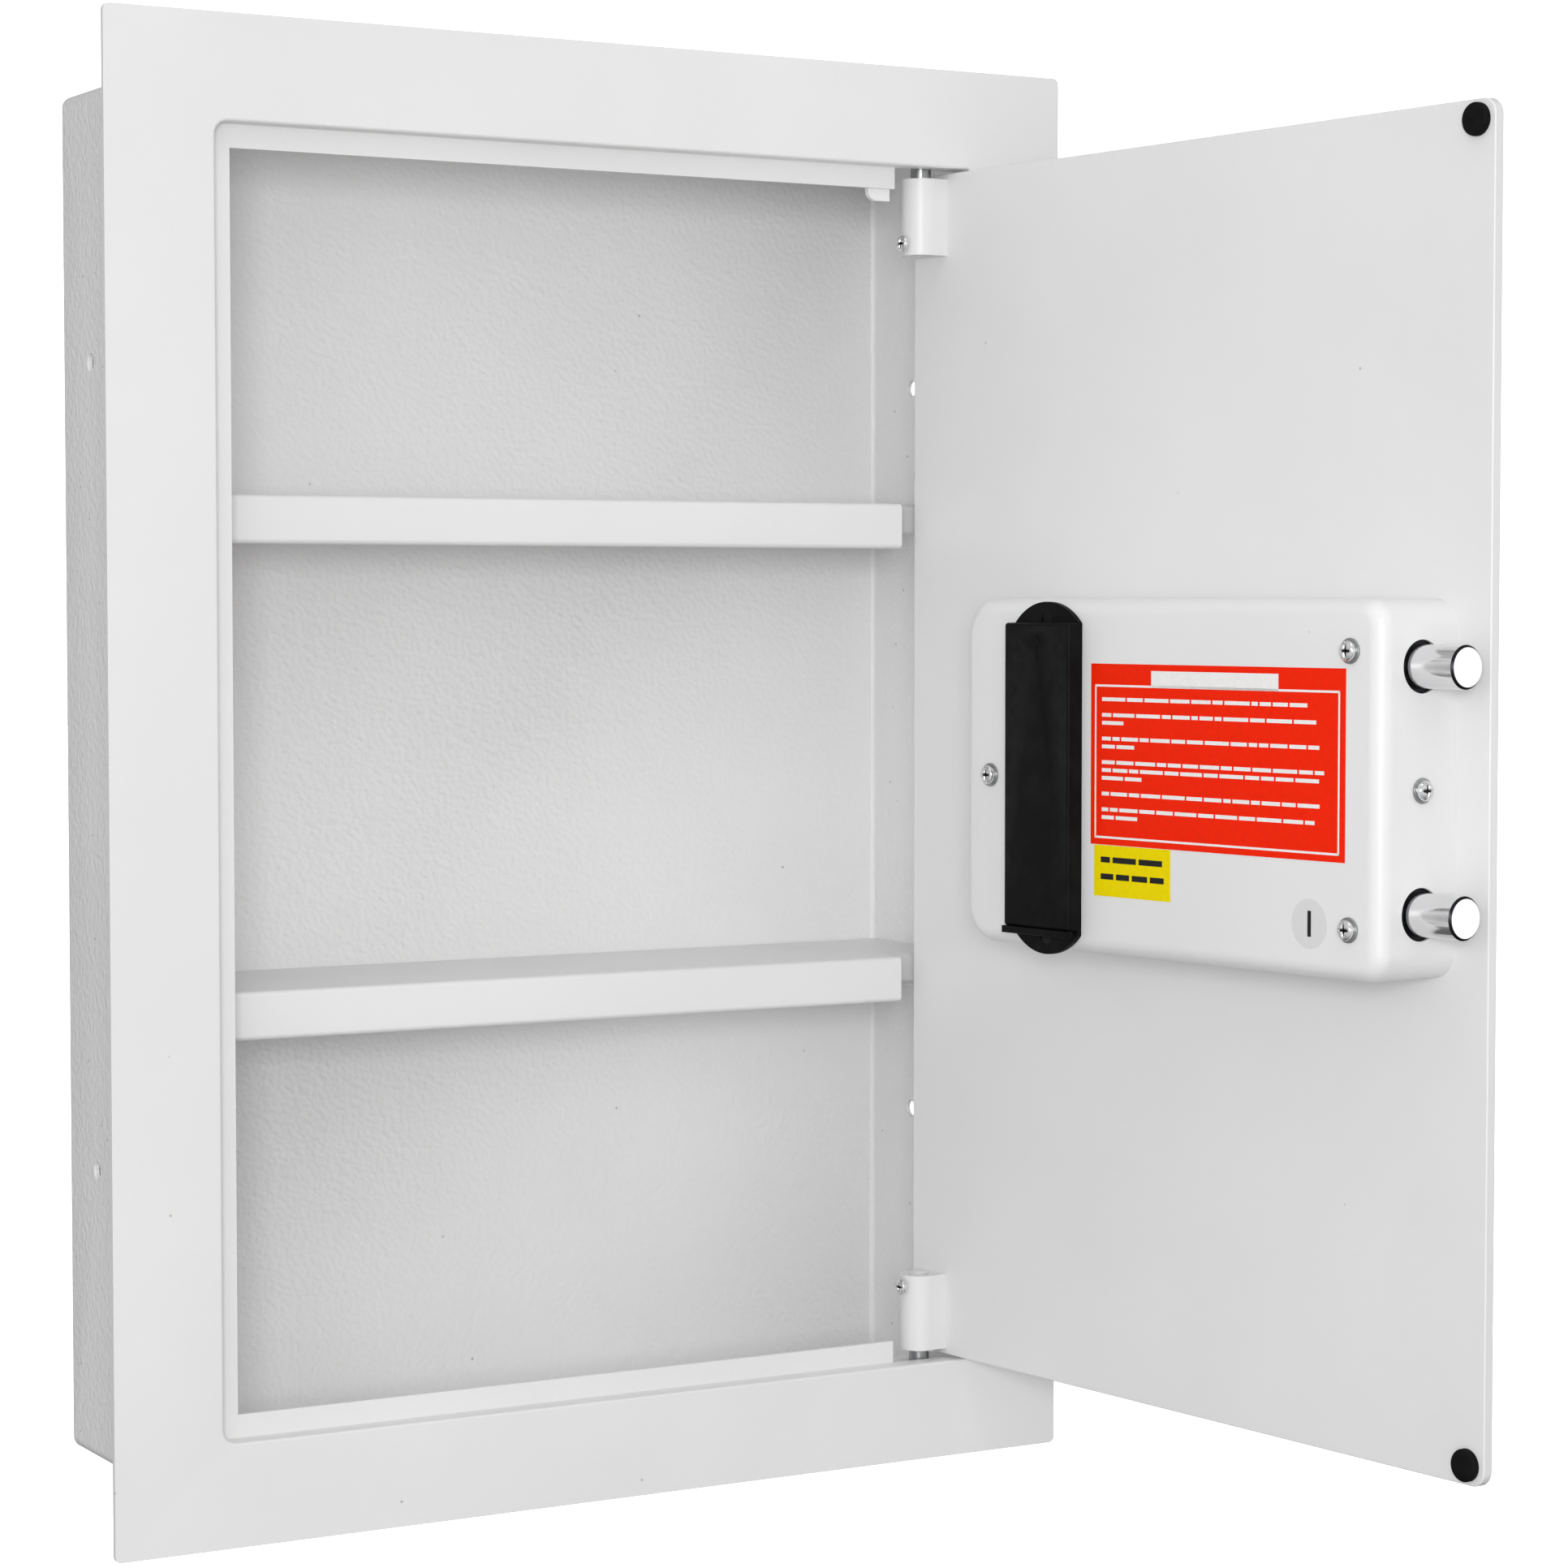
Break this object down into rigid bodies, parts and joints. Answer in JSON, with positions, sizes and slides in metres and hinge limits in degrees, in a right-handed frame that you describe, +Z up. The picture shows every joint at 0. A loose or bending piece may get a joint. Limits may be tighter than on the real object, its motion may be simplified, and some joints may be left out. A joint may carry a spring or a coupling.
{
  "type": "wall safe",
  "caption": "Recessed steel wall safe with a face flange, folded shelves and an open hinged door carrying motor-driven round bolts, a battery bay and a finger reader.",
  "frame": {"origin": "centre of the wall cut-out, in the plane of the wall's surface, which is the back face of the flange", "axes": "+Y into the wall, +Z up, +X to the right as seen from the room, towards the hinges"},
  "size_m": [0.4, 0.3985, 0.55],
  "materials": {
    "coat": "light grey-white powder coat, fine orange-peel texture",
    "coat_inside": "the same coat inside the housing",
    "zinc": "zinc-plated steel",
    "bright": "bright plated steel",
    "black": "black moulded plastic, light grain",
    "gloss_black": "gloss black plastic",
    "brass": "turned brass",
    "gear": "natural acetal",
    "pad": "black rubber",
    "red": "printed film, plain",
    "yellow": "printed film, plain",
    "clear": "clear film",
    "glass": "smoked optical glass",
    "led": "diffused indicator",
    "board": "green circuit board",
    "cell": "wrapped cell",
    "wire": "insulated wire"
  },
  "bodies": {
    "safe": {"body_shell": "coat_inside", "face_frame": "coat", "hinge_bracket_top": "coat_inside", "hinge_bracket_bottom": "coat_inside", "shelf_upper": "coat_inside", "shelf_lower": "coat_inside", "shelf_tabs": "coat_inside"},
    "door": {"door_plate": "coat", "hinge_knuckle_top": "coat", "hinge_knuckle_bottom": "coat", "hinge_pin_top": "zinc", "hinge_pin_bottom": "zinc", "knuckle_screws": "bright", "bumper_pads": "pad", "lock_cover": "coat", "cover_screws": "bright", "cover_washers": "zinc", "cover_post": "zinc", "bolt_guide": "zinc", "gear_motor": "zinc", "motor_bracket": "zinc", "spring_rod": "zinc", "return_spring": "zinc", "limit_switch": "black", "key_cylinder": "brass", "cylinder_nut": "brass", "reader_bezel": "black", "sensor_window": "glass", "sensor_module": "black", "status_leds": "led", "battery_tray": "black", "tray_screws": "zinc", "battery_cells": "cell", "battery_contacts": "bright", "circuit_board": "board", "board_posts": "zinc", "board_parts": "black", "buzzer": "black", "board_button": "black", "motor_leads": "wire", "sensor_lead": "clear", "battery_leads": "wire", "notice_label": "red", "rating_label": "yellow", "round_label": "clear"},
    "bolt_work": {"locking_bolt_upper": "bright", "locking_bolt_lower": "bright", "bolt_carriage": "zinc", "drive_rack": "gear", "bolt_screws": "zinc"},
    "pinion": {"drive_pinion": "gear"},
    "key_work": {"key_plug": "brass", "key_cam": "zinc", "cam_screw": "zinc"},
    "cap": {"keyhole_cap": "gloss_black"},
    "battery_cover": {"battery_lid": "black"},
    "button": {"setting_button": "red"}
  },
  "joints": [
    {"name": "door_hinge", "type": "hinge", "parent": "safe", "child": "door", "pos_m": [0.1435, 0.011, 0], "axis": [0, 0, 1], "range_deg": [-96.4, 5.6]},
    {"name": "bolt_slide", "type": "slide", "parent": "door", "child": "bolt_work", "axis": [-0.1115, 0.9938, 0], "range_m": [0, 0.017], "stiffness_N_per_m": 300, "springref_m": -0.02, "deforming": ["return_spring"]},
    {"name": "pinion_turn", "type": "hinge", "parent": "door", "child": "pinion", "pos_m": [0.1557, -0.19643, 0.0025], "axis": [0, 0, 1], "range_deg": [0, 129.87]},
    {"name": "key_turn", "type": "hinge", "parent": "door", "child": "key_work", "pos_m": [0.17466, -0.16814, -0.036], "axis": [-0.9938, -0.1115, 0], "range_deg": [0, 90]},
    {"name": "cap_swing", "type": "hinge", "parent": "door", "child": "cap", "pos_m": [0.19056, -0.16636, -0.015], "axis": [-0.9938, -0.1115, 0], "range_deg": [-100, 100]},
    {"name": "battery_cover_slide", "type": "slide", "parent": "door", "child": "battery_cover", "axis": [0, 0, 1], "range_m": [0, 0.024]},
    {"name": "button_push", "type": "slide", "parent": "door", "child": "button", "axis": [0.9938, 0.1115, 0], "range_m": [0, 0.001], "stiffness_N_per_m": 800, "springref_m": -0.001}
  ],
  "couplings": [
    {"joint": "pinion_turn", "follows": "bolt_slide", "rad_per_m": 133.33},
    {"joint": "key_turn", "follows": "bolt_slide", "rad_per_m": 92.4}
  ]
}
